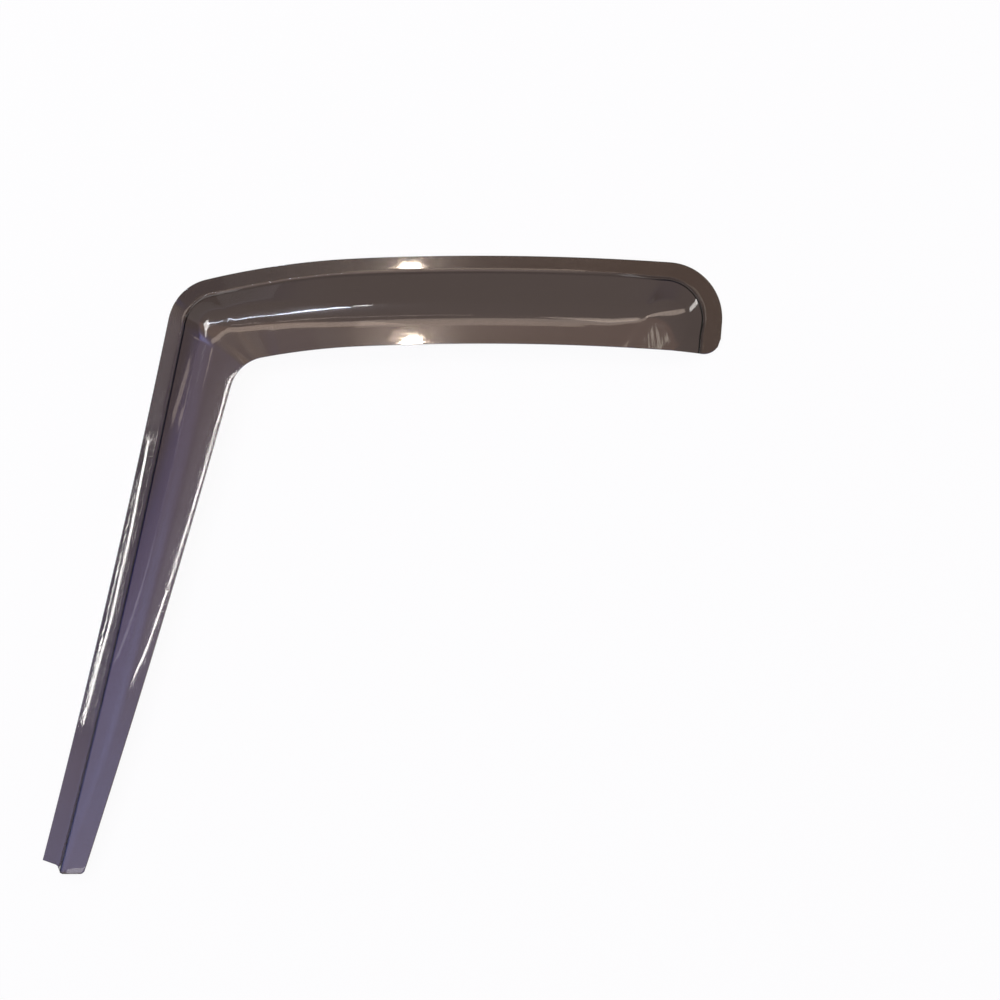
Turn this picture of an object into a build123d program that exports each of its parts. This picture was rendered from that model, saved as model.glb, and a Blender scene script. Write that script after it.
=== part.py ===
# Window rain deflector: one smoked acrylic sheet, formed over a mould and trimmed to its outline.
# A flat flange sticks to the door frame along the front pillar and the roof rail.
# Inside it the hood steps up, slopes outward, rolls over a ridge and ends in a free lip.
# Millimetres and degrees. +X runs along the roof rail to the rear, +Y up the window, +Z outward.
# The origin is on the back of the flange, at the middle of its width in the corner.

import os
from math import cos, degrees, radians, sin, tan
from typing import NamedTuple

from build123d import *

# Sheet
sheet = 3.0
flange_thickness = 2.6
riser_lean = 20.0
step_radius = 1.0
shoulder_radius = 3.6

# Outer edge, from the foot of the pillar round the corner to the tail
pillar_length = 558.0
pillar_bow = 11500.0
pillar_lean = 11.7
corner_radius = 50.0
roof_slope = 13.5
front_radius = 797.0
front_angle = 10.9
roof_radius = 2760.0
roof_angle = 6.56
tail_radius = 56.0
tail_lean = 4.4

# Free edge, on the window side
roof_depth = 89.4
foot_depth = 44.6
free_lean = 18.2
window_corner_radius = 40.0
tail_corner_radius = 17.0

# Foot of the pillar, where the hood runs on past the flange
flange_foot_drop = 1.4
hood_overhang = 13.0
foot_chamfer = 5.0
foot_corner_radius = 5.0

# Width of the flange
flange_pillar = 17.2
flange_corner = 15.0
flange_roof = 14.0
flange_tail = 18.0

# Height of the riser between the flange and the slope
riser_foot = 8.0
riser_knee = 5.5
riser_roof = 3.0
riser_tail = 4.0

# Ridge: its distance from the outer edge, its height over the mounting plane, the radius of its roll
ridge_foot = 26.0
ridge_knee = 38.0
ridge_corner = 44.0
ridge_roof = 57.0
ridge_tail = 44.0
height_foot = 12.6
height_knee = 17.0
height_corner = 22.0
height_roof = 25.0
height_tail = 23.0
roll_foot = 12.0
roll_knee = 25.0
roll_corner = 40.0
roll_roof = 60.0

# Height of the lip at the edge of the blank
lip_foot = 14.0
lip_knee = 18.5
lip_corner = 24.0
lip_roof = 26.0

# Lengths along the outer edge where the form changes, and the share of it that the tail's bend starts with
knee_length = 168.0
tail_fan_length = 65.0
tail_share = 0.3

# Blank, which is formed larger than the outline and then trimmed
trim_margin = 18.0
corner_fan_margin = 57.0
tail_fan_margin = 45.0

# Distance between the sections of the blank, on its runs, in its fans and round its bends
run_spacing = 55.0
fan_spacing = 20.0
bend_spacing = 12.0


class Form(NamedTuple):
    # One section of the formed sheet, with its distances square to the outer edge
    flange: float
    riser: float
    ridge: float
    height: float
    roll: float
    lip: float


def blend(start, end, share):
    return Form(*(a + (b - a) * share for a, b in zip(start, end)))


def direction(angle):
    return Vector(cos(radians(angle)), sin(radians(angle)))


def right_of(heading):
    return heading.rotate(Axis.Z, -90)


# Outer edge in plan, drawn from the foot of the pillar to the tail
pillar_angle = degrees(pillar_length / pillar_bow)
pillar_chord = 2 * pillar_bow * sin(radians(pillar_angle / 2))
corner_angle = 90 - pillar_lean - roof_slope
tail_angle = 90 + tail_lean + roof_slope - front_angle - roof_angle
inward = direction(-pillar_lean - corner_angle / 2)
corner_centre = inward * (corner_radius - flange_corner / 2)
corner_start = corner_centre + direction(180 - pillar_lean) * corner_radius
foot = corner_start - direction(90 - pillar_lean - pillar_angle / 2) * pillar_chord

with BuildLine() as outer_edge:
    pillar = JernArc(foot, direction(90 - pillar_lean - pillar_angle), pillar_bow, pillar_angle)
    corner = JernArc(pillar @ 1, pillar % 1, corner_radius, -corner_angle)
    front = JernArc(corner @ 1, corner % 1, front_radius, -front_angle)
    roof = JernArc(front @ 1, front % 1, roof_radius, -roof_angle)
    tail = JernArc(roof @ 1, roof % 1, tail_radius, -tail_angle)
    side = Line(tail @ 1, (tail @ 1) + (tail % 1) * tail_radius)

# Window opening, under the free edges of the roof and the pillar
far = 2 * pillar_length
front_end = 90 + roof_slope - front_angle
free_angle = degrees((pillar_length + hood_overhang) / pillar_bow)
foot_across = right_of(pillar % 0)

with BuildSketch() as window:
    with BuildLine():
        front_free = CenterArc(front.arc_center, front_radius - roof_depth, front_end, 2 * front_angle)
        roof_free = CenterArc(roof.arc_center, roof_radius - roof_depth, front_end, -2 * roof_angle)
        Polyline(front_free @ 1, (-far, -far), (far, -far), roof_free @ 1)
    make_face()
    with BuildLine():
        free_start = foot + foot_across * foot_depth - direction(90 - free_lean) * hood_overhang
        pillar_free = JernArc(free_start, direction(90 - free_lean), pillar_bow, free_angle)
        below = Line(pillar_free @ 0, (pillar_free @ 0) - (pillar_free % 0) * pillar_length)
        above = Line(pillar_free @ 1, (pillar_free @ 1) + (pillar_free % 1) * pillar_length)
        Polyline(below @ 1, (far, -far), (far, far), above @ 1)
    make_face(mode=Mode.INTERSECT)
    fillet(window.vertices().sort_by_distance(corner_centre)[0], window_corner_radius)

# Trimmed outline, with the foot of the hood lower than the foot of the flange
step_foot = foot + foot_across * (flange_pillar - step_radius) - (pillar % 0) * flange_foot_drop
hood_foot = foot.Y - hood_overhang

with BuildSketch() as outline:
    with BuildLine():
        add(outer_edge.line)
        Polyline(
            foot,
            step_foot,
            (step_foot.X, hood_foot + foot_chamfer),
            (step_foot.X + foot_chamfer, hood_foot),
            (foot.X + 2 * foot_depth, hood_foot),
            side @ 1,
        )
    make_face()
    add(window.sketch, mode=Mode.SUBTRACT)
    fillet(outline.vertices().sort_by_distance(side @ 1)[0], tail_corner_radius)
    fillet(outline.vertices().sort_by_distance(free_start)[0], foot_corner_radius)

# Forms along the outer edge, and the centres that the sections turn to round the corner and the tail
foot_form = Form(flange_pillar, riser_foot, ridge_foot, height_foot, roll_foot, lip_foot)
knee_form = Form(flange_pillar, riser_knee, ridge_knee, height_knee, roll_knee, lip_knee)
corner_form = Form(flange_corner, riser_roof, ridge_corner, height_corner, roll_corner, lip_corner)
roof_form = Form(flange_roof, riser_roof, ridge_roof, height_roof, roll_roof, lip_roof)
tail_form = Form(flange_tail, riser_tail, ridge_tail, height_tail, roll_roof, lip_roof)

knee = knee_length / pillar_length
tail_start = 1 - tail_fan_length / roof.length
corner_fan = (corner @ 0.5) + inward * (roof_depth + corner_fan_margin)
tail_fan = (roof @ tail_start) + right_of(roof % tail_start) * (roof_depth + tail_fan_margin)
neck = pillar.param_at_point(pillar.closest_points(corner_fan)[0])
brow = front.param_at_point(front.closest_points(corner_fan)[0])
neck_form = blend(knee_form, corner_form, (neck - knee) / (1 - knee))
brow_form = blend(corner_form, roof_form, brow)

# Each span has its edge, the forms at its ends, the distance between its sections and the centre of its fan
bend_form = blend(roof_form, tail_form, tail_share)
spans = (
    (pillar.trim(0, knee), foot_form, knee_form, run_spacing, None),
    (pillar.trim(knee, neck), knee_form, neck_form, run_spacing, None),
    (pillar.trim(neck, 1), neck_form, corner_form, fan_spacing, corner_fan),
    (corner, corner_form, corner_form, bend_spacing, corner_fan),
    (front.trim(0, brow), corner_form, brow_form, fan_spacing, corner_fan),
    (front.trim(brow, 1), brow_form, roof_form, run_spacing, None),
    (roof.trim(0, tail_start), roof_form, roof_form, run_spacing, None),
    (roof.trim(tail_start, 1), roof_form, bend_form, fan_spacing, tail_fan),
    (tail, bend_form, tail_form, bend_spacing, tail_fan),
    (side, tail_form, tail_form, fan_spacing, tail_fan),
)
blank_foot = (pillar @ 0) - (pillar % 0) * (hood_overhang + trim_margin)
stations = [(blank_foot, foot_across, foot_across, foot_form)]
for edge, start_form, end_form, spacing, centre in spans:
    count = round(edge.length / spacing)
    for number in range(count):
        share = (number + 0.5) / count
        square = right_of(edge % share)
        heading = (centre - (edge @ share)).normalized() if centre else square
        stations.append((edge @ share, square, heading, blend(start_form, end_form, share)))

with BuildPart() as deflector_shell:
    for point, square, heading, form in stations:
        spread = 1 / heading.dot(square)
        step = form.flange * spread
        shoulder = step + form.riser * tan(radians(riser_lean))
        with BuildSketch(Plane(origin=point, x_dir=heading, z_dir=heading.cross(Vector(0, 0, 1)))):
            with BuildLine():
                FilletPolyline(
                    (-trim_margin, flange_thickness),
                    (step, flange_thickness),
                    (shoulder, flange_thickness + form.riser),
                    (form.ridge * spread, form.height),
                    (roof_depth + trim_margin, form.lip),
                    radius=(step_radius, shoulder_radius, form.roll),
                )
                offset(amount=sheet, side=Side.RIGHT)
            make_face()
    loft()
    # Trimmed square to the mounting plane, which leaves the back of the flange flat
    add(outline.sketch)
    extrude(amount=2 * lip_roof, mode=Mode.INTERSECT)

deflector_shell.part.label = "deflector_shell"
os.makedirs("parts", exist_ok=True)
export_step(deflector_shell.part, "parts/deflector_shell.step")
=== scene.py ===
import bpy
import math
from mathutils import Matrix, Vector


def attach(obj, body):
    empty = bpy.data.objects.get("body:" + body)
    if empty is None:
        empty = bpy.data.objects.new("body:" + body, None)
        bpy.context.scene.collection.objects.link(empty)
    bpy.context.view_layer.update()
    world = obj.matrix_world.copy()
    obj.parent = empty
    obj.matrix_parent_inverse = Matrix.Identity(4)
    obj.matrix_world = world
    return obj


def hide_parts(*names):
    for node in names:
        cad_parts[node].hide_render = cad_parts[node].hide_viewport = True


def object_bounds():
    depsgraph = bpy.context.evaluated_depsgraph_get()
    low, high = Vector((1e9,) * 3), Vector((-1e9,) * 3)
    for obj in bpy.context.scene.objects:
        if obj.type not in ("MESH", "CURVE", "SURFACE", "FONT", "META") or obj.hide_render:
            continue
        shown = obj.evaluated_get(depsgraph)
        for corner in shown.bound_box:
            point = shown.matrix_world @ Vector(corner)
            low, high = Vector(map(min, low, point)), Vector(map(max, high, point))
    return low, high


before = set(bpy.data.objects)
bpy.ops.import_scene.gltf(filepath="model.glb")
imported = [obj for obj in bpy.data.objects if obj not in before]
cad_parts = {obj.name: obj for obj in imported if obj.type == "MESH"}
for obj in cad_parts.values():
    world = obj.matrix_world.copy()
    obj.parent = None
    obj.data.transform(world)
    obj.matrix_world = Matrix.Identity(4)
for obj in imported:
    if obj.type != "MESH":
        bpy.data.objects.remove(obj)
cadLow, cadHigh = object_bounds()
mm = 0.001
print("frame loaded, box", [round(v, 4) for v in cadLow], [round(v, 4) for v in cadHigh])


# The sheet, in millimetres and degrees, as it lies on its flange
deflector = {
    "thickness": 3.0,
    "flangeTop": 2.6,
    "stepRadius": 1.0,
    "shoulderRadius": 3.6,
    "reach": 107.4,
    "rimRound": 0.55,
    "rimSteps": 3,
    "rimAngle": 45,
    "smoothAngle": 12,
    "mergeGap": 0.01,
    # length along the outer edge: flange, riser, its lean, ridge distance, ridge height,
    # roll radius, lip height, bow of the slope and bow of the lip
    "forms": {
        0: (17.2, 8.0, 20, 26.0, 12.6, 12.0, 14.0, 0.0, 0.0006),
        168: (17.2, 5.5, 20, 38.0, 17.0, 25.0, 17.9, 0.001, 0.0006),
        235: (17.0, 4.9, 21, 39.7, 18.0, 28.0, 19.55, 0.0014, 0.0006),
        558: (15.0, 3.0, 34, 44.0, 22.0, 46.0, 24.0, 0.004, 0.0007),
        586: (15.0, 3.0, 45, 44.0, 22.0, 66.0, 23.5, 0.002, 0.0003),
        640: (15.0, 3.0, 48, 44.6, 22.15, 68.0, 23.6, 0.001, 0.0),
        766.171: (14.0, 3.0, 48, 57.0, 24.9, 60.0, 26.18, 0.0, 0.0),
        1017.173: (14.0, 3.0, 48, 57.0, 24.9, 60.0, 26.18, 0.0, 0.0),
        1082.173: (15.2, 3.3, 42, 53.1, 24.4, 60.0, 26.04, 0.0, 0.0),
        1170.568: (18.0, 4.0, 35, 44.0, 23.0, 60.0, 26.04, 0.0, 0.0),
        1226.568: (18.0, 4.0, 35, 44.0, 23.0, 60.0, 26.04, 0.0, 0.0),
    },
    # the flange hangs down along the leg, up to the crease at the corner:
    # length along the outer edge, fall at that edge, bow
    "droop": (
        (0, 0.065, 4e-4),
        (145, 0.064, 4e-4),
        (250, 0.075, 4e-4),
        (345, 0.055, 4e-4),
        (430, 0.0, 4e-4),
        (490, 0.0, 4e-4),
        (530, 0.12, 2e-4),
        (578, 0.3, 0.0),
        (578.1, 0.0, 0.0),
    ),
    # two waves in that fall: height, length and start of each
    "droopWaves": ((0.003, 31, 0), (0.0018, 13, 1)),
    # outer edge from the foot: centre, radius, first and last angle,
    # 1 where the sheet is outside the circle and -1 where it is inside
    "outerEdge": (
        ((-11279.503, 2312.617), 11500.0, -14.4801, -11.7, 1),
        ((30.52, -29.576), 50.0, 168.3, 103.5, -1),
        ((204.904, -755.937), 797.0, 103.5, 92.6, -1),
        ((293.952, -2716.916), 2760.0, 92.6, 86.04, -1),
        ((480.69, -19.372), 56.0, 86.04, -4.4, -1),
    ),
    "sideTurn": -94.4,
    # free edge: centre, radius, angles between which it is used,
    # 1 where the section leaves the circle there and -1 where it enters it
    "freeEdge": (
        ((-11030.361, 3005.466), 11500.0, -18.6, -15.6077, 1),
        ((84.12, -99.354), 40.0, 100.4235, 164.3923, -1),
        ((204.904, -755.937), 707.6, 92.6, 100.4235, -1),
        ((293.952, -2716.916), 2670.6, 84.0, 92.6, -1),
    ),
    "angleSlack": 0.01,
    "freeBehind": -60,  # cuts further behind the outer edge don't count
    "tailCorner": ((518.318, -38.698), 17.0, -94.7887, -4.4),
    "footPath": (
        (-144.805, -562.884),
        (-129.47, -568.29),
        (-129.47, -570.884),
        (-124.47, -575.884),
        (-105.859, -575.884),
    ),
    "footCorner": ((-105.859, -570.884), 5.0),
    "footEase": (7.0, 0.4),  # length of the hood's last stretch, and how far it dips at its cut end
    # sections turn to these points: the point, the length where that starts
    # and, at the corner, the length where it ends
    "cornerFan": ((99.748, -96.662), 506.93, 676.276),
    "tailFan": ((413.544, -94.041), 1017.173),
    "tailSearch": (1030, 1160),
    # how finely the sheet is divided, across and along
    "straightSteps": (7, 2, 9, 12),
    "bendSteps": (8, 8, 16),
    "footRows": 14,
    "footCrowd": 1.6,
    "footZone": 24.0,
    "rowGaps": ((500, 6), (680, 2.5), (1010, 6), (1082, 4), (1300, 2.5)),  # up to a length, how far apart
    "tailRows": 44,
    "halvings": 40,
}


def flat(point):
    return Vector((point[0], point[1]))


def around(angle):
    return Vector((math.cos(math.radians(angle)), math.sin(math.radians(angle))))


def edgeSpot(along):
    # point of the outer edge and the way square to it, into the sheet
    rest = along
    for centre, radius, first, last, side in deflector["outerEdge"]:
        length = radius * math.radians(abs(last - first))
        if rest <= length or rest < 0:
            share = max(rest, 0) / length
            ray = around(first + (last - first) * share)
            spot = flat(centre) + ray * radius
            if rest < 0:  # straight on below the foot
                spot = spot + Vector((-ray.y, ray.x)) * rest
            return spot, ray * side
        rest -= length
    way = around(deflector["sideTurn"])
    return flat(centre) + around(last) * radius + way * rest, Vector((way.y, -way.x))


def freeCut(spot, way):
    # how far along the section the free edge is
    cuts = []
    slack = deflector["angleSlack"]
    for centre, radius, low, high, side in deflector["freeEdge"]:
        gap = spot - flat(centre)
        b = gap.dot(way)
        root = b * b - gap.length_squared + radius * radius
        if root > 0:
            cut = -b + side * math.sqrt(root)
            hit = gap + way * cut
            angle = math.degrees(math.atan2(hit.y, hit.x))
            inside = low - slack <= angle <= high + slack
            if inside and cut > deflector["freeBehind"]:
                cuts.append(cut)
    return min(cuts)


def slopesOf(places, values):
    # slopes of a smooth run through the values that never overshoots them
    rise = [(values[i + 1] - values[i]) / (places[i + 1] - places[i]) for i in range(len(places) - 1)]
    slopes = [rise[0]]
    for a, b in zip(rise, rise[1:]):
        slopes.append(0 if a * b <= 0 else 2 * a * b / (a + b))
    return slopes + [rise[-1]]


formPlaces = list(deflector["forms"])
formValues = list(zip(*deflector["forms"].values()))
formSlopes = [slopesOf(formPlaces, values) for values in formValues]


def formAt(along):
    along = min(max(along, formPlaces[0]), formPlaces[-1])
    i = max(k for k in range(len(formPlaces) - 1) if formPlaces[k] <= along)
    span = formPlaces[i + 1] - formPlaces[i]
    t = (along - formPlaces[i]) / span
    form = []
    for values, slopes in zip(formValues, formSlopes):
        form.append(
            values[i] * (1 + 2 * t) * (1 - t) ** 2 + values[i + 1] * t * t * (3 - 2 * t)
            + span * (slopes[i] * t * (1 - t) ** 2 - slopes[i + 1] * t * t * (1 - t))
        )
    return form


def droopAt(along):
    run = deflector["droop"]
    if along >= run[-1][0]:
        return run[-1][1:]
    for (a, *low), (b, *high) in zip(run, run[1:]):
        if along < b:
            fall, bow = Vector(low).lerp(Vector(high), max(along - a, 0) / (b - a))
            for height, length, start in deflector["droopWaves"]:
                fall += height * math.sin(along / length + start)
            return fall, bow


def sectionCurve(form, spread, lipEnd, droop):
    # distance and height of each point across the sheet, from the outer edge to the lip
    flange, riser, lean, ridge, height, roll, lip, slopeBow, lipBow = form
    top = deflector["flangeTop"]
    step = flange * spread
    shoulder = step + riser * math.tan(math.radians(lean))
    corners = [
        Vector((0, top)),
        Vector((step, top)),
        Vector((shoulder, top + riser)),
        Vector((ridge * spread, height)),
        Vector((deflector["reach"], lip)),
    ]
    radii = (deflector["stepRadius"], deflector["shoulderRadius"], roll)
    curve, last = [corners[0]], corners[0]
    for i, radius in enumerate(radii):
        before = (corners[i + 1] - corners[i]).normalized()
        after = (corners[i + 2] - corners[i + 1]).normalized()
        turn = math.atan2(before.x * after.y - before.y * after.x, before.dot(after))
        reach = radius * math.tan(abs(turn) / 2)
        start = corners[i + 1] - before * reach
        steps = deflector["straightSteps"][i]
        for k in range(steps):
            share = (k + 1) / steps
            point = last.lerp(start, share)
            if i == 2:
                point.y += slopeBow * share * (1 - share) * (start.x - last.x) ** 2 / 2
            curve.append(point)
        hub = start + Vector((-before.y, before.x)) * math.copysign(radius, turn)
        steps = deflector["bendSteps"][i]
        for k in range(steps):
            a = turn * (k + 1) / steps
            arm = start - hub
            x = arm.x * math.cos(a) - arm.y * math.sin(a)
            y = arm.x * math.sin(a) + arm.y * math.cos(a)
            curve.append(hub + Vector((x, y)))
        last = corners[i + 1] + after * reach
    steps = deflector["straightSteps"][3]
    for k in range(steps):
        share = (k + 1) / steps
        across = last.x + (lipEnd - last.x) * share
        point = last.lerp(corners[4], (across - last.x) / (corners[4].x - last.x))
        point.y += lipBow * share * (1 - share) * (lipEnd - last.x) ** 2 / 2
        curve.append(point)
    fall, bow = droop
    for point in curve[:deflector["straightSteps"][0] + 1]:
        gap = max(0, step - point.x)
        point.y -= fall * gap / step + bow * gap * gap / 2
    return curve


def sectionWay(along, spot, square):
    fan, first, last = deflector["cornerFan"]
    tailFan, tailFirst = deflector["tailFan"]
    if first < along < last:
        return (flat(fan) - spot).normalized()
    if along > tailFirst:
        return (flat(tailFan) - spot).normalized()
    return square


def freeReach(along):
    spot, square = edgeSpot(along)
    return freeCut(spot, sectionWay(along, spot, square))


# the section in the tail that is longest: past it the free edge cuts the sections off
tailPeak = max(range(*deflector["tailSearch"]), key=freeReach)
peakCut = freeReach(tailPeak)


def sectionAt(along):
    # place of each point across the sheet, how far in from the step it is, and how far along
    spot, square = edgeSpot(along)
    way = sectionWay(along, spot, square)
    lipEnd = freeCut(spot, way) if along <= tailPeak else peakCut
    form, spread = formAt(along), 1 / way.dot(square)
    section = []
    for p in sectionCurve(form, spread, lipEnd, droopAt(along)):
        place = Vector((*(spot + way * p.x), p.y)) * mm
        section.append((place, (p.x - form[0] * spread) * mm, along * mm))
    return section


def tailRoom(point):
    # distance left to the trimmed end of the tail
    x, y = point.x / mm, point.y / mm
    centre, radius, low, high = deflector["tailCorner"]
    arm = Vector((x, y)) - flat(centre)
    if low <= math.degrees(math.atan2(arm.y, arm.x)) <= high:
        return radius - arm.length
    hub, reach = deflector["freeEdge"][3][:2]
    return (Vector((x, y)) - flat(hub)).length - reach


def footLimit(across):
    # how far below the foot the trimmed end is, at this distance from the outer edge
    start, square = edgeSpot(0)
    up = Vector((-square.y, square.x))
    path = [((flat(p) - start).dot(square), (flat(p) - start).dot(up)) for p in deflector["footPath"]]
    for (a, c), (b, d) in zip(path, path[1:]):
        if across <= b:
            return c + (d - c) * (across - a) / (b - a)
    hub, radius = deflector["footCorner"]
    arm = across - (flat(hub) - start).dot(square)
    return (flat(hub) - start).dot(up) - math.sqrt(max(radius * radius - arm * arm, 0))


def sheetRows():
    columns = len(sectionAt(0))
    rows = []
    ends = [footLimit(s[1] / mm + formAt(0)[0]) for s in sectionAt(0)]
    hoodFirst = sum(deflector["straightSteps"][:2]) + sum(deflector["bendSteps"][:2])
    zone, dip = deflector["footEase"]
    for k in range(deflector["footRows"]):
        share = (k / deflector["footRows"]) ** deflector["footCrowd"]  # closer together at the cut end
        row = []
        for c in range(columns):
            along = ends[c] + (deflector["footZone"] - ends[c]) * share
            point, u, v = sectionAt(along)[c]
            if c >= hoodFirst:
                point.z -= dip * mm * max(0, 1 - (along - ends[c]) / zone) ** 2
            row.append((point, u, v))
        rows.append(row)
    along = deflector["footZone"]
    while along < tailPeak:
        rows.append(sectionAt(along))
        along += next(gap for end, gap in deflector["rowGaps"] if along <= end)
    ends = []
    for c in range(columns):
        low, high = tailPeak, formPlaces[-1]
        for _ in range(deflector["halvings"]):
            middle = (low + high) / 2
            if tailRoom(sectionAt(middle)[c][0]) > 0:
                low = middle
            else:
                high = middle
        ends.append(low)
    for k in range(deflector["tailRows"] + 1):
        share = k / deflector["tailRows"]
        rows.append([sectionAt(tailPeak + (ends[c] - tailPeak) * share)[c] for c in range(columns)])
    return rows


def makeDeflector():
    rows = sheetRows()
    high, wide = len(rows), len(rows[0])
    bpy.ops.object.select_all(action="DESELECT")
    # the flat blank
    bpy.ops.mesh.primitive_grid_add(x_subdivisions=wide - 1, y_subdivisions=high - 1, size=1)
    sheet = bpy.context.object
    sheet.name = sheet.data.name = "formedSheet"
    places = {}
    for v in sheet.data.vertices:  # drawn over the mould
        r, c = round((v.co.y + 0.5) * (high - 1)), round((v.co.x + 0.5) * (wide - 1))
        places[v.index] = rows[r][c]
        v.co = rows[r][c][0]
    chart = sheet.data.uv_layers.active
    chart.name = "sheetMap"  # metres inward from the step, and along the outer edge
    for loop in sheet.data.loops:
        chart.data[loop.index].uv = places[loop.vertex_index][1:]
    bpy.ops.object.mode_set(mode="EDIT")
    bpy.ops.mesh.select_all(action="SELECT")
    bpy.ops.mesh.remove_doubles(threshold=deflector["mergeGap"] * mm)
    bpy.ops.mesh.normals_make_consistent(inside=False)
    bpy.ops.object.mode_set(mode="OBJECT")
    if sum(p.normal.z for p in sheet.data.polygons) < 0:
        sheet.data.flip_normals()
    wall = sheet.modifiers.new("wall", "SOLIDIFY")
    wall.thickness = deflector["thickness"] * mm
    wall.offset = -1
    wall.use_even_offset = True
    wall.use_quality_normals = True
    wall.material_offset_rim = 1  # the cut edge has its own finish
    bpy.ops.object.modifier_apply(modifier="wall")
    for v in sheet.data.vertices:  # back of the flange rubbed flat
        v.co.z = max(v.co.z, 0)
    rim = sheet.modifiers.new("rim", "BEVEL")
    rim.limit_method = "ANGLE"
    rim.angle_limit = math.radians(deflector["rimAngle"])
    rim.width = deflector["rimRound"] * mm
    rim.segments = deflector["rimSteps"]
    rim.use_clamp_overlap = False
    bpy.ops.object.modifier_apply(modifier="rim")
    for v in sheet.data.vertices:  # trimmed to the true size
        v.co = [min(max(v.co[i], cadLow[i]), cadHigh[i]) for i in range(3)]
    bpy.ops.object.shade_smooth_by_angle(angle=math.radians(deflector["smoothAngle"]))
    print("sheet formed", high, "by", wide, len(sheet.data.polygons), "faces")
    return sheet


sheet = makeDeflector()


# Handling wear, on any face. Noise: cycles per metre each way, turn in degrees, detail, roughness.
# Then the values of the noise where the mask starts and where it is full
wear = {
    "firstScratch": (((2200, 55, 55), 28, 0.0), (0.70, 0.78)),
    "secondScratch": (((1700, 40, 40), -63, 0.0), (0.71, 0.79)),
    "haze": (((13, 13, 13), 0, 4.0, 0.6), (0.3, 0.75)),
    "speckCells": 210,
    "speckEdge": (0.10, 0.06),
    "speckShare": (0.985, 0.995),  # only the few cells above this have a speck
}

# Finish of the acrylic: smoked through, polished outside, worn by handling, with a painted shade on the
# flange and a painted highlight along the roof's step
acrylic = {
    "tint": (0.285, 0.237, 0.222, 1),
    "paintedFlangeShade": (0.12, 0.097, 0.086, 1),  # painted shade on the flange, standing in for the shadow where it lies close on what is behind it
    "footPaintedShade": 0.35,  # share of that painted shade at the foot
    "drawn": (0.75, 0.64, 0.60, 1),  # painted highlight along the roof's step: a paler tint than the sheet's own, standing in for the light line on that edge
    "dusty": (0.34, 0.30, 0.28, 1),
    "dustShare": 0.4,
    "hazeShare": 0.06,
    "smoke": (0.33, 0.27, 0.25, 1),
    "density": 620.0,
    "index": 1.49,
    "polish": 0.016,
    "hazeRough": 0.02,
    "scratchRough": 0.02,
    "dustRough": 0.05,
    "dullRough": 0.22,
    "film": 0.6,
    "filmLeast": 0.05,
    "filmHaze": 0.15,
    "filmRough": 0.125,
    "longWave": 0.001,  # heights in millimetres
    "edgeWrinkle": 0.009,
    "tailRipple": 0.10,
    "scratchDepth": 0.0004,
    "sawRough": 0.3,
    "sawHaze": 0.15,
    "sawScratch": 0.2,
    "sawDepth": 0.02,
    # noise: cycles per metre each way, turn in degrees, detail
    "filmGrain": ((700, 700, 700), 0, 1.0),
    "waveGrain": ((18, 7, 1), 0, 1.0),
    "wrinkleGrain": ((480, 60, 1), 18, 1.0),
    "rippleGrain": ((190, 14, 14), -6, 1.0),
    "sawGrain": ((800, 800, 120), 0, 2.0),
    # where each mask starts and where it is full, in metres inward from the step or along the outer edge
    "flangeIn": (0.0004, -0.0008),
    "paintedShadeAlong": (0.08, 0.20),
    "stepFrom": (-0.0003, 0.0002),
    "stepTo": (0.0010, 0.0005),
    "roofFrom": (0.57, 0.64),
    "roofTo": (1.06, 0.92),
    "dullFrom": (0.428, 0.455),
    "dullTo": (0.58, 0.55),
    "dullIn": (-0.001, -0.003),
    "wrinkleIn": (-0.0112, -0.0142),
    "wrinkleFrom": (0.10, 0.17),
    "wrinkleTo": (0.45, 0.33),
    "rippleSpot": (0.472, -0.045, 0.022),  # the tail ripples round this point
    "rippleNear": (0.026, 0.010),
}


def takes(tree, socket, value):
    if isinstance(value, bpy.types.NodeSocket):
        tree.links.new(value, socket)
    else:
        socket.default_value = value


def sums(tree, operation, a, b, c=0.0):
    node = tree.nodes.new("ShaderNodeMath")
    node.operation = operation
    for i, value in enumerate((a, b, c)):
        takes(tree, node.inputs[i], value)
    return node.outputs[0]


def product(tree, *values):
    result = values[0]
    for value in values[1:]:
        result = sums(tree, "MULTIPLY", result, value)
    return result


def band(tree, value, low, high, smooth=True):
    # 0 at low, 1 at high
    node = tree.nodes.new("ShaderNodeMapRange")
    if smooth:
        node.interpolation_type = "SMOOTHSTEP"
    takes(tree, node.inputs["Value"], value)
    node.inputs["From Min"].default_value = low
    node.inputs["From Max"].default_value = high
    return node.outputs[0]


def grain(tree, vector, stretch, turn, detail, rough=0.5):
    # noise with its own cycles per metre each way
    place = tree.nodes.new("ShaderNodeMapping")
    place.inputs["Rotation"].default_value = (0, 0, math.radians(turn))
    tree.links.new(vector, place.inputs["Vector"])
    pull = tree.nodes.new("ShaderNodeMapping")
    pull.inputs["Scale"].default_value = stretch
    tree.links.new(place.outputs[0], pull.inputs["Vector"])
    noise = tree.nodes.new("ShaderNodeTexNoise")
    noise.inputs["Scale"].default_value = 1
    noise.inputs["Detail"].default_value = detail
    noise.inputs["Roughness"].default_value = rough
    tree.links.new(pull.outputs[0], noise.inputs["Vector"])
    return noise.outputs[0]


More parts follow.
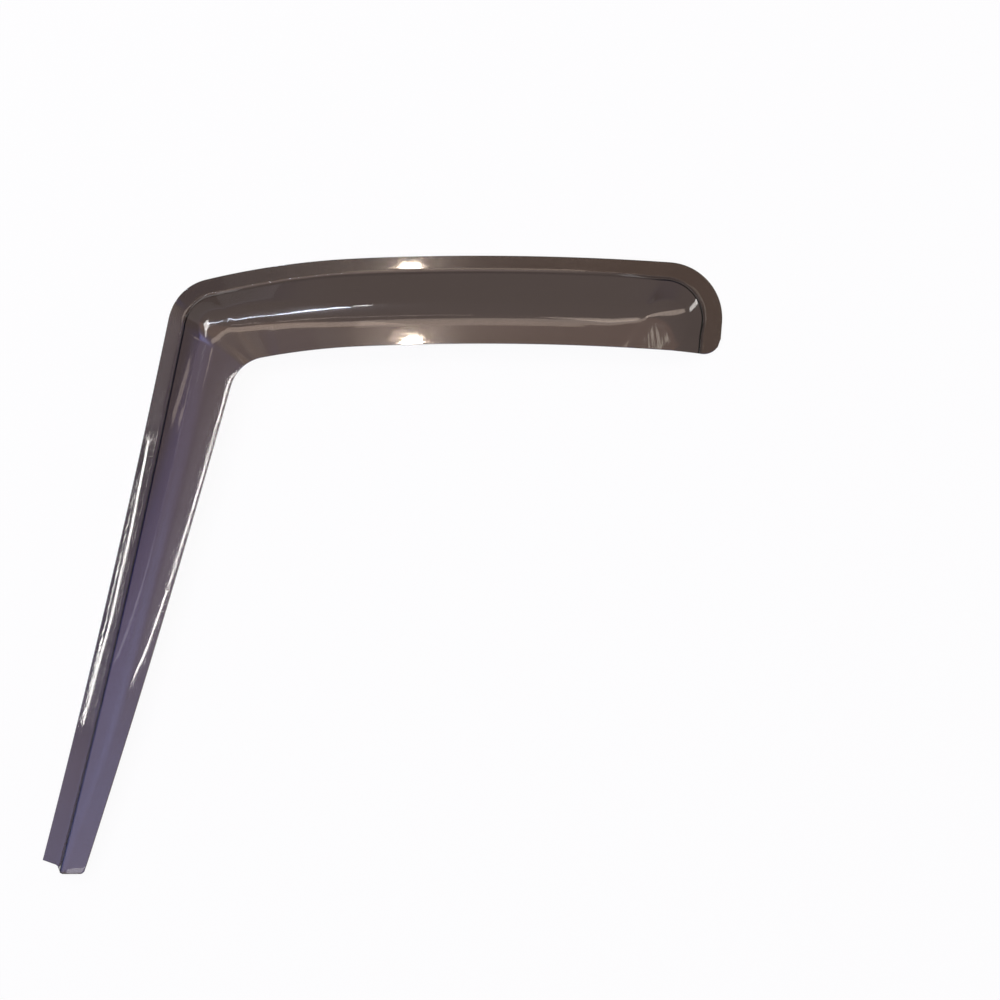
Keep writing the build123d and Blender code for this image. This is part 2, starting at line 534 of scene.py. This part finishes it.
def makeWear():
    # scratches, dust and haze, shared by the polished face and the cut edge
    group = bpy.data.node_groups.new("handlingWear", "ShaderNodeTree")
    group.interface.new_socket("Vector", in_out="INPUT", socket_type="NodeSocketVector")
    for name in ("Scratches", "Dust", "Haze"):
        group.interface.new_socket(name, in_out="OUTPUT", socket_type="NodeSocketFloat")
    start, end = group.nodes.new("NodeGroupInput"), group.nodes.new("NodeGroupOutput")
    vector = start.outputs["Vector"]
    masks = {}
    for name in ("firstScratch", "secondScratch", "haze"):
        noise, shown = wear[name]
        masks[name] = band(group, grain(group, vector, *noise), *shown)
    scratches = sums(group, "MAXIMUM", masks["firstScratch"], masks["secondScratch"])
    group.links.new(scratches, end.inputs["Scratches"])
    group.links.new(masks["haze"], end.inputs["Haze"])
    specks = group.nodes.new("ShaderNodeTexVoronoi")
    specks.inputs["Scale"].default_value = wear["speckCells"]
    group.links.new(vector, specks.inputs["Vector"])
    few = group.nodes.new("ShaderNodeSeparateColor")
    group.links.new(specks.outputs["Color"], few.inputs[0])
    near = band(group, specks.outputs["Distance"], *wear["speckEdge"])
    speck = product(group, near, band(group, few.outputs[0], *wear["speckShare"]))
    group.links.new(speck, end.inputs["Dust"])
    return group


def addWear(mat, wearGroup):
    nodes, links = mat.node_tree.nodes, mat.node_tree.links
    place = nodes.new("ShaderNodeTexCoord")
    node = nodes.new("ShaderNodeGroup")
    node.node_tree = wearGroup
    links.new(place.outputs["Object"], node.inputs["Vector"])
    return place.outputs["Object"], node.outputs["Scratches"], node.outputs["Dust"], node.outputs["Haze"]


def addSmoke(mat):
    # tinted through its thickness
    nodes, links = mat.node_tree.nodes, mat.node_tree.links
    smoke = nodes.new("ShaderNodeVolumeAbsorption")
    smoke.inputs["Color"].default_value = acrylic["smoke"]
    smoke.inputs["Density"].default_value = acrylic["density"]
    links.new(smoke.outputs[0], nodes["Material Output"].inputs["Volume"])


def addBump(mat, height):
    bump = mat.node_tree.nodes.new("ShaderNodeBump")
    bump.inputs["Strength"].default_value = 1
    bump.inputs["Distance"].default_value = mm
    mat.node_tree.links.new(height, bump.inputs["Height"])
    mat.node_tree.links.new(bump.outputs[0], mat.node_tree.nodes["Principled BSDF"].inputs["Normal"])


def mixed(tree, share, first, second):
    mix = tree.nodes.new("ShaderNodeMix")
    mix.data_type = "RGBA"
    takes(tree, mix.inputs["Factor"], share)
    takes(tree, mix.inputs["A"], first)
    takes(tree, mix.inputs["B"], second)
    return mix.outputs["Result"]


def tintBy(mat, tint, dust, haze):
    # dust lies pale on the tint, and the tint is a little uneven
    tree = mat.node_tree
    share = product(tree, haze, acrylic["hazeShare"])
    share = sums(tree, "MULTIPLY_ADD", dust, acrylic["dustShare"], share)
    colour = mixed(tree, share, tint, acrylic["dusty"])
    tree.links.new(colour, tree.nodes["Principled BSDF"].inputs["Base Color"])


def makeAcrylic(wearGroup):
    mat = bpy.data.materials.new("smokedAcrylic")
    mat.use_nodes = True
    tree = mat.node_tree
    gloss = tree.nodes["Principled BSDF"]
    gloss.inputs["IOR"].default_value = acrylic["index"]
    gloss.inputs["Transmission Weight"].default_value = 1
    spot, scratches, dust, haze = addWear(mat, wearGroup)
    chart = tree.nodes.new("ShaderNodeUVMap")
    chart.uv_map = "sheetMap"
    parts = tree.nodes.new("ShaderNodeSeparateXYZ")
    tree.links.new(chart.outputs[0], parts.inputs[0])
    across, along = parts.outputs["X"], parts.outputs["Y"]

    def inward(name):
        return band(tree, across, *acrylic[name])

    def lengthwise(name):
        return band(tree, along, *acrylic[name])

    # the painted shade on the flange grows from the foot upwards
    least = acrylic["footPaintedShade"]
    shade = sums(tree, "MULTIPLY_ADD", lengthwise("paintedShadeAlong"), 1 - least, least)
    tint = mixed(tree, product(tree, shade, inward("flangeIn")), acrylic["tint"], acrylic["paintedFlangeShade"])
    # painted highlight: the paler tint along the roof's step stands in for the light line on that edge
    atStep = product(tree, inward("stepFrom"), inward("stepTo"))
    onRoof = product(tree, lengthwise("roofFrom"), lengthwise("roofTo"))
    tint = mixed(tree, product(tree, atStep, onRoof), tint, acrylic["drawn"])
    tintBy(mat, tint, dust, haze)
    rough = sums(tree, "MULTIPLY_ADD", haze, acrylic["hazeRough"], acrylic["polish"])
    rough = sums(tree, "MULTIPLY_ADD", scratches, acrylic["scratchRough"], rough)
    rough = sums(tree, "MULTIPLY_ADD", dust, acrylic["dustRough"], rough)
    # the flange is dull below its crease
    dull = product(tree, lengthwise("dullFrom"), lengthwise("dullTo"), inward("dullIn"))
    rough = sums(tree, "MULTIPLY_ADD", dull, acrylic["dullRough"], rough)
    tree.links.new(rough, gloss.inputs["Roughness"])
    # a thin film from handling spreads the brightest reflections
    gloss.inputs["Coat Roughness"].default_value = acrylic["filmRough"]
    filmGrain = grain(tree, spot, *acrylic["filmGrain"])
    film = sums(tree, "MULTIPLY_ADD", filmGrain, acrylic["film"], acrylic["filmLeast"])
    film = sums(tree, "MULTIPLY_ADD", haze, acrylic["filmHaze"], film)
    tree.links.new(film, gloss.inputs["Coat Weight"])
    # long waves all over, wrinkles along the flange's edge, ripples at the tail, and the scratches
    height = product(tree, grain(tree, chart.outputs[0], *acrylic["waveGrain"]), acrylic["longWave"])
    onEdge = product(tree, inward("wrinkleIn"), lengthwise("wrinkleFrom"), lengthwise("wrinkleTo"))
    wrinkle = product(tree, grain(tree, chart.outputs[0], *acrylic["wrinkleGrain"]), onEdge)
    height = sums(tree, "MULTIPLY_ADD", wrinkle, acrylic["edgeWrinkle"], height)
    nearTail = tree.nodes.new("ShaderNodeVectorMath")
    nearTail.operation = "DISTANCE"
    tree.links.new(spot, nearTail.inputs[0])
    nearTail.inputs[1].default_value = acrylic["rippleSpot"]
    onTail = band(tree, nearTail.outputs["Value"], *acrylic["rippleNear"])
    ripple = product(tree, grain(tree, spot, *acrylic["rippleGrain"]), onTail)
    height = sums(tree, "MULTIPLY_ADD", ripple, acrylic["tailRipple"], height)
    height = sums(tree, "MULTIPLY_ADD", scratches, -acrylic["scratchDepth"], height)
    addBump(mat, height)
    addSmoke(mat)
    return mat


def makeCutEdge(wearGroup):
    mat = bpy.data.materials.new("sawnEdge")
    mat.use_nodes = True
    tree = mat.node_tree
    gloss = tree.nodes["Principled BSDF"]
    gloss.inputs["IOR"].default_value = acrylic["index"]
    gloss.inputs["Transmission Weight"].default_value = 1
    spot, scratches, dust, haze = addWear(mat, wearGroup)
    tintBy(mat, acrylic["tint"], dust, haze)
    rough = sums(tree, "MULTIPLY_ADD", haze, acrylic["sawHaze"], acrylic["sawRough"])
    rough = sums(tree, "MULTIPLY_ADD", scratches, acrylic["sawScratch"], rough)
    tree.links.new(rough, gloss.inputs["Roughness"])
    addBump(mat, product(tree, grain(tree, spot, *acrylic["sawGrain"]), acrylic["sawDepth"]))
    addSmoke(mat)
    return mat


handlingWear = makeWear()
sheet.data.materials.append(makeAcrylic(handlingWear))
sheet.data.materials.append(makeCutEdge(handlingWear))
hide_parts("deflector_shell")
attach(sheet, "root")
print("acrylic on")


studio = {
    "cameraHeight": 3.0,
    "aim": (0.3138, -0.2019),
    "frameWidth": 1.0,
    "frameLevel": 0.01,  # the view is that wide at this height
    "sensor": 36,
    "viewEnd": 100,
    "floorSize": 30,
    "floorLevel": -0.0004,
    "floorPaint": (0.9, 0.9, 0.9, 1),
    "floorGlow": 0.93,
    # which way the dome's masks run, and where they start and end
    "toFoot": ((-0.45, -0.9, 0.25), -0.2, 0.7),
    "toCorner": ((-0.7, 0.7, 0), 0.1, 0.4),
    # dome colours from the roof's side to the foot's
    "dome": (
        (0.0, (0.30, 0.26, 0.24, 1)),
        (0.22, (0.36, 0.29, 0.26, 1)),
        (0.30, (0.85, 0.54, 0.42, 1)),
        (0.40, (0.92, 0.60, 0.45, 1)),
        (0.445, (0.64, 0.47, 0.44, 1)),
        (0.51, (0.50, 0.38, 0.50, 1)),
        (0.56, (0.58, 0.46, 0.75, 1)),
        (0.64, (0.86, 0.74, 1.42, 1)),
        (0.72, (1.4, 1.45, 3.0, 1)),
        (0.78, (1.6, 1.52, 2.85, 1)),
        (0.84, (1.42, 1.4, 2.85, 1)),
        (0.90, (0.95, 0.95, 1.15, 1)),
        (1.0, (0.8, 0.8, 0.85, 1)),
    ),
    # share of the dome's colour behind the corner, from the horizon upwards, and the share elsewhere
    "rise": (
        (0.0, (0.6, 0.6, 0.6, 1)),
        (0.15, (0.5, 0.5, 0.5, 1)),
        (0.28, (0.06, 0.06, 0.08, 1)),
        (0.36, (0.08, 0.09, 0.22, 1)),
        (0.42, (0.5, 0.54, 0.9, 1)),
        (0.50, (1, 1, 1.1, 1)),
        (0.56, (1, 1, 1, 1)),
    ),
    "aside": (0.85, 0.85, 0.85, 1),
}


def makeFloor():
    bpy.ops.object.select_all(action="DESELECT")
    bpy.ops.mesh.primitive_plane_add(size=studio["floorSize"], location=(0, 0, studio["floorLevel"]))
    floor = bpy.context.object
    floor.name = "floor"
    bpy.ops.object.transform_apply(location=True)
    mat = bpy.data.materials.new("paleFloor")
    mat.use_nodes = True
    tree = mat.node_tree
    tree.nodes.remove(tree.nodes["Principled BSDF"])
    paint = tree.nodes.new("ShaderNodeBsdfDiffuse")
    paint.inputs["Color"].default_value = studio["floorPaint"]
    glow = tree.nodes.new("ShaderNodeEmission")
    path = tree.nodes.new("ShaderNodeLightPath")
    seen = sums(tree, "MAXIMUM", path.outputs["Is Camera Ray"], path.outputs["Is Glossy Ray"])
    seen = sums(tree, "MAXIMUM", seen, path.outputs["Is Transmission Ray"])
    mix = tree.nodes.new("ShaderNodeMixShader")
    tree.links.new(product(tree, seen, studio["floorGlow"]), mix.inputs[0])
    tree.links.new(paint.outputs[0], mix.inputs[1])
    tree.links.new(glow.outputs[0], mix.inputs[2])
    tree.links.new(mix.outputs[0], tree.nodes["Material Output"].inputs["Surface"])
    floor.data.materials.append(mat)


def steps(tree, value, colours):
    ramp = tree.nodes.new("ShaderNodeValToRGB")
    stops = ramp.color_ramp.elements
    while len(stops) < len(colours):
        stops.new(0.5)
    for stop, (spot, colour) in zip(stops, colours):
        stop.position, stop.color = spot, colour
    tree.links.new(value, ramp.inputs[0])
    return ramp.outputs[0]


def facing(tree, direction, axis, low, high, smooth):
    # 0 to 1 as the dome's direction turns to the axis
    dot = tree.nodes.new("ShaderNodeVectorMath")
    dot.operation = "DOT_PRODUCT"
    dot.inputs[1].default_value = axis
    tree.links.new(direction, dot.inputs[0])
    return band(tree, dot.outputs["Value"], low, high, smooth)


def makeSky():
    world = bpy.data.worlds.new("studioDome")
    bpy.context.scene.world = world
    world.use_nodes = True
    tree = world.node_tree
    dome = tree.nodes["Background"]
    direction = tree.nodes.new("ShaderNodeTexCoord").outputs["Generated"]
    colour = steps(tree, facing(tree, direction, *studio["toFoot"], smooth=False), studio["dome"])
    upward = tree.nodes.new("ShaderNodeSeparateXYZ")
    tree.links.new(direction, upward.inputs[0])
    behind = steps(tree, upward.outputs["Z"], studio["rise"])
    rise = mixed(tree, facing(tree, direction, *studio["toCorner"], smooth=True), studio["aside"], behind)
    shade = tree.nodes.new("ShaderNodeMix")
    shade.data_type = "RGBA"
    shade.blend_type = "MULTIPLY"
    shade.inputs["Factor"].default_value = 1
    tree.links.new(colour, shade.inputs["A"])
    tree.links.new(rise, shade.inputs["B"])
    tree.links.new(shade.outputs["Result"], dome.inputs["Color"])
    white = tree.nodes.new("ShaderNodeBackground")
    white.inputs["Color"].default_value = (1, 1, 1, 1)
    path = tree.nodes.new("ShaderNodeLightPath")
    mix = tree.nodes.new("ShaderNodeMixShader")
    tree.links.new(path.outputs["Is Camera Ray"], mix.inputs[0])
    tree.links.new(dome.outputs[0], mix.inputs[1])
    tree.links.new(white.outputs[0], mix.inputs[2])
    tree.links.new(mix.outputs[0], tree.nodes["World Output"].inputs["Surface"])


warm, beige, white = (1, 0.83, 0.70), (1, 0.95, 0.82), (1, 0.98, 0.94)
blue, lilac = (0.8, 0.86, 1), (0.92, 0.86, 1)
# name: the ends of the strip, its width, brightness, colour,
# and the point that it faces when it doesn't face straight down
lamps = {
    "ceilingLamp": ((0.139, 0.222, 3.0), (0.139, 0.273, 3.0), 0.030, 160, warm, None),
    "ceilingSide": ((0.098, 0.236, 3.0), (0.126, 0.265, 3.0), 0.016, 160, warm, None),
    "legTube": ((-0.385, 0.03, 3.0), (-0.572, -0.64, 3.0), 0.007, 45, white, None),
    "wallPanel": ((0.0, 0.62, 3.0), (0.49, 0.62, 3.0), 0.62, 2.0, warm, None),
    "wallFoot": ((-0.24, 0.25, 3.0), (0.02, 0.25, 3.0), 0.13, 0.25, beige, None),
    "wallRight": ((0.49, 0.72, 3.0), (0.63, 0.72, 3.0), 0.54, 1.9, warm, None),
    "wallLeft": ((0.06, 0.673, 3.02), (-0.45, 0.564, 3.02), 0.50, 2.3, warm, None),
    "wallCorner": ((-0.42, 0.44, 3.0), (-1.2, 0.35, 3.0), 0.34, 2.5, warm, None),
    "stripLeft": ((-0.40, 1.02, 3.0), (-0.14, 1.46, 3.0), 0.05, 2.2, warm, None),
    "stripRight": ((-0.12, 1.43, 3.0), (0.25, 1.30, 3.0), 0.05, 2.2, warm, None),
    "tailRise": ((0.50, 0.92, 3.0), (3.4, 1.96, 2.0), 0.44, 3.0, warm, (0.48, -0.02, 0)),
    "tailHook": ((3.21, 1.305, 1.03), (3.0, 1.668, 1.06), 0.06, 9, white, (0.51, 0, 0)),
    "tailStrip": ((0.78, 0.31, 3.0), (1.16, -0.06, 3.0), 0.03, 3.2, beige, None),
    "blueWindow": ((-0.025, 1.6, 1.56), (-0.42, 1.6, 2.62), 0.028, 50, blue, (0.1, 0, 0)),
    "blueGlint": ((0.02, 1.6, 1.43), (0.005, 1.6, 1.475), 0.028, 30, white, (0.18, 0, 0)),
    "blueCorner": ((-0.42, 1.6, 2.62), (-1.257, 1.51, 2.86), 0.035, 40, blue, (0.04, -0.02, 0)),
    "blueEnd": ((-1.257, 1.51, 2.86), (-1.511, 1.262, 1.93), 0.06, 22, blue, (0.02, -0.02, 0)),
    "cornerGlint": ((-1.55, 1.22, 1.563), (-1.60, 1.14, 2.3), 0.36, 10, white, (0.02, -0.03, 0)),
    "cornerStreak": ((-1.68, 1.106, 2.07), (-1.78, 0.687, 2.175), 0.30, 8, white, (0.02, -0.04, 0)),
    "cornerTip": ((-1.78, 0.687, 2.175), (-1.917, 0.443, 2.12), 0.18, 7, white, (0.02, -0.04, 0)),
    "pillarFirst": ((-2.43, 0.51, 1.09), (-2.45, 0.41, 1.03), 0.06, 2.2, warm, (0, -0.1, 0)),
    "pillarSecond": ((-2.43, 0.52, 1.25), (-2.45, 0.40, 1.16), 0.045, 2.4, warm, (0, -0.1, 0)),
    "ridgeFirst": ((-2.017, 0.364, 1.418), (-2.185, 0.29, 1.165), 0.014, 2.6, lilac, (-0.01, -0.15, 0)),
    "ridgeSecond": ((-2.185, 0.29, 1.165), (-2.21, 0.17, 1.16), 0.014, 2.2, lilac, (-0.02, -0.2, 0)),
    "ridgeThird": ((-2.21, 0.17, 1.16), (-2.20, -0.05, 1.28), 0.012, 1.8, lilac, (-0.05, -0.3, 0)),
    "backPanel": ((-3.3, 1.46, 1.25), (0.0, 3.44, 1.25), 0.5, 0.3, white, (0.1, -0.1, 0)),
    "footPanel": ((-0.95, -1.36, 3.0), (-0.40, -1.36, 3.0), 0.45, 2.6, white, None),
}


def addLamp(name, first, last, width, brightness, colour, faces):
    first, last = Vector(first), Vector(last)
    place, length = (first + last) / 2, (last - first).length
    bpy.ops.object.light_add(type="AREA", location=place)
    lamp = bpy.context.object
    lamp.name = name
    lamp.data.shape = "RECTANGLE"
    lamp.data.size, lamp.data.size_y = length, width
    lamp.data.energy = brightness * math.pi * length * width
    lamp.data.color = colour
    lamp.visible_camera = False
    run = (last - first).normalized()
    back = place - Vector(faces) if faces else Vector((0, 0, 1))
    back = (back - run * back.dot(run)).normalized()
    lamp.rotation_euler = Matrix((run, back.cross(run), back)).transposed().to_euler()


makeFloor()
makeSky()
for name, lamp in lamps.items():
    addLamp(name, *lamp)
print("floor and", len(lamps), "lamps set")

camData = bpy.data.cameras.new("camera")
camera = bpy.data.objects.new("camera", camData)
bpy.context.collection.objects.link(camera)
camera.location = (*studio["aim"], studio["cameraHeight"])
camData.sensor_width = studio["sensor"]
camData.lens = studio["sensor"] * (studio["cameraHeight"] - studio["frameLevel"]) / studio["frameWidth"]
camData.clip_end = studio["viewEnd"]
bpy.context.scene.camera = camera
bpy.context.scene.view_settings.view_transform = "Standard"
